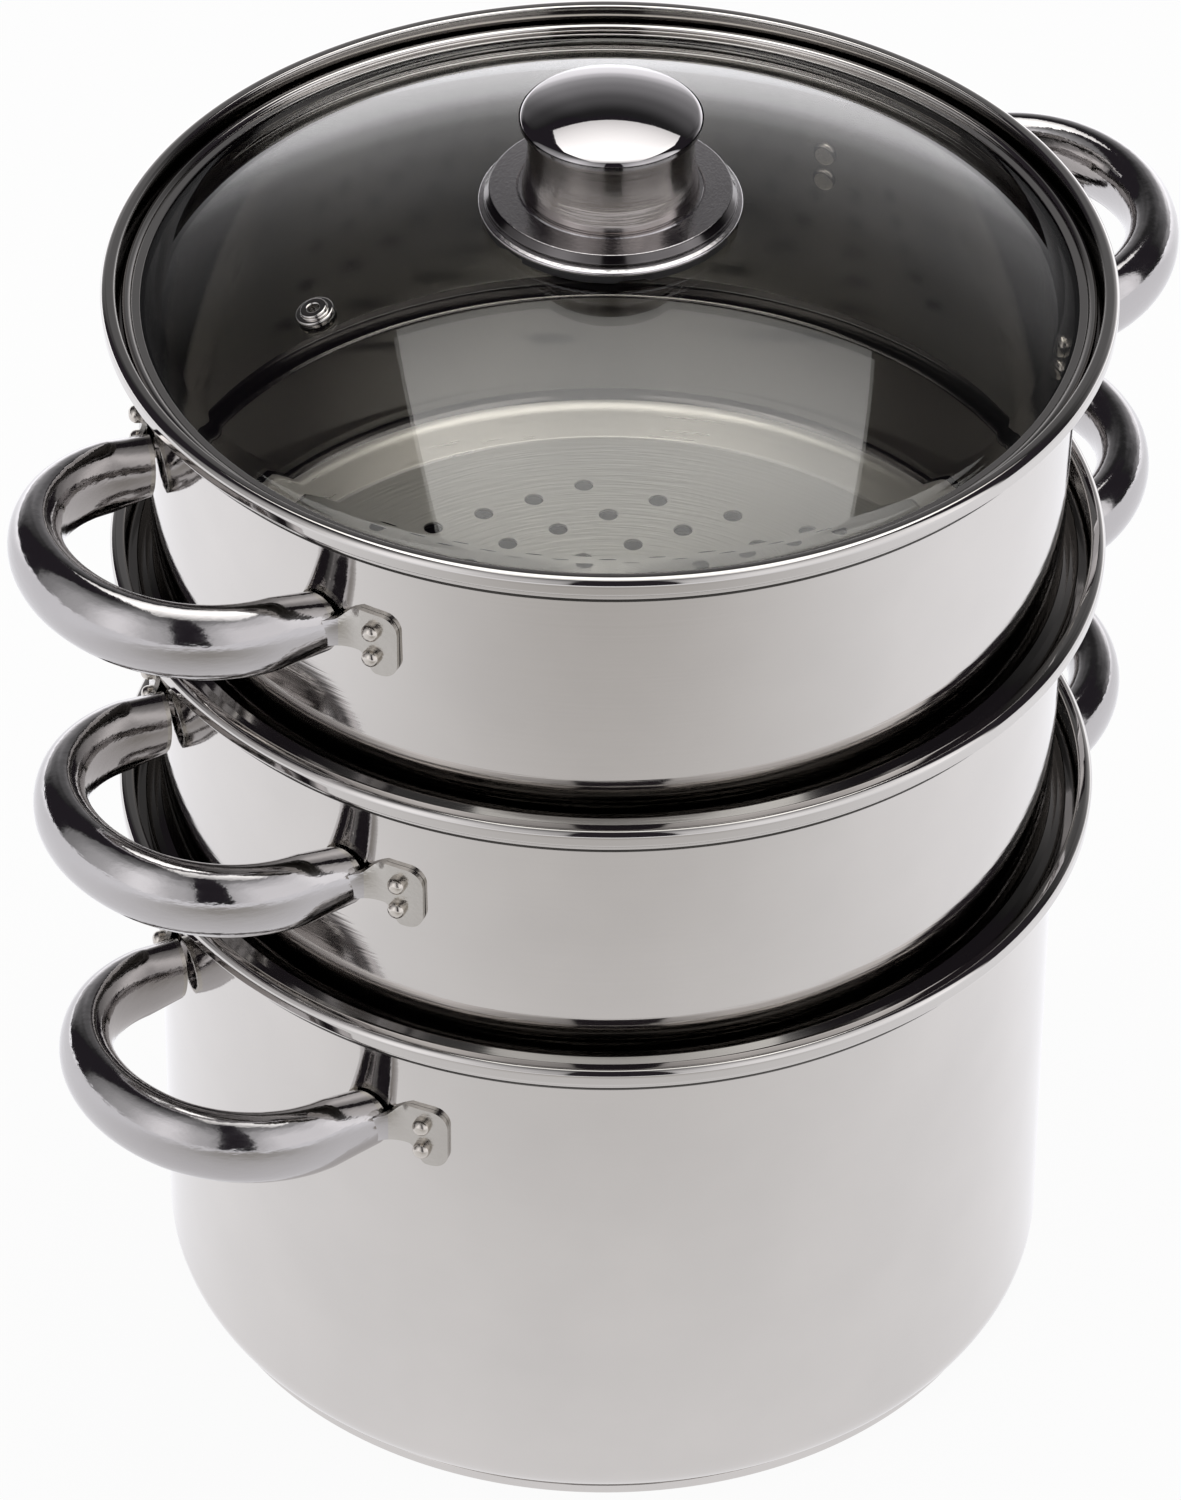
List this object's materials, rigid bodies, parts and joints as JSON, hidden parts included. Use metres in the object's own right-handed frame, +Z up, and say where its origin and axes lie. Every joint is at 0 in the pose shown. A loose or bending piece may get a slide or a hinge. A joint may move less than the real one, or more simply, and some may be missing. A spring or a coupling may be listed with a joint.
{
  "type": "steamer pot",
  "caption": "Round steel pot with two stacked steamer baskets, looped side handles and a domed glass lid with a knob.",
  "frame": {"origin": "middle of the pot's underside, where it stands on the hob", "axes": "+Z up along the axis of the pot and its tiers, X through the pot's two handles, Y across them"},
  "size_m": [0.3298, 0.25, 0.3584],
  "materials": {
    "satin_steel": "fine satin",
    "polished_steel": "polished",
    "rivet_steel": "dull",
    "core_aluminium": "plain",
    "smoked_glass": "clear, smoked",
    "black_seal": "matte"
  },
  "bodies": {
    "pot": {"pot_body": "satin_steel", "pot_handle_left": "polished_steel", "pot_rivets_left": "rivet_steel", "pot_handle_right": "polished_steel", "pot_rivets_right": "rivet_steel", "pot_base_core": "core_aluminium", "pot_base_cap": "satin_steel"},
    "middle_steamer": {"middle_steamer_body": "satin_steel", "middle_steamer_handle_left": "polished_steel", "middle_steamer_rivets_left": "rivet_steel", "middle_steamer_handle_right": "polished_steel", "middle_steamer_rivets_right": "rivet_steel"},
    "top_steamer": {"top_steamer_body": "satin_steel", "top_steamer_handle_left": "polished_steel", "top_steamer_rivets_left": "rivet_steel", "top_steamer_handle_right": "polished_steel", "top_steamer_rivets_right": "rivet_steel"},
    "lid": {"lid_glass": "smoked_glass", "lid_band": "polished_steel", "vent_eyelet": "rivet_steel", "knob_gasket": "black_seal", "knob_flange": "polished_steel", "knob_neck": "polished_steel", "knob_cap": "polished_steel", "knob_screw": "rivet_steel"}
  },
  "joints": [
    {"name": "middle_lift", "type": "slide", "parent": "pot", "child": "middle_steamer", "axis": [0, 0, 1], "range_m": [0, 0.07]},
    {"name": "top_lift", "type": "slide", "parent": "middle_steamer", "child": "top_steamer", "axis": [0, 0, 1], "range_m": [0, 0.07]},
    {"name": "lid_lift", "type": "slide", "parent": "top_steamer", "child": "lid", "axis": [0, 0, 1], "range_m": [0, 0.08]}
  ]
}
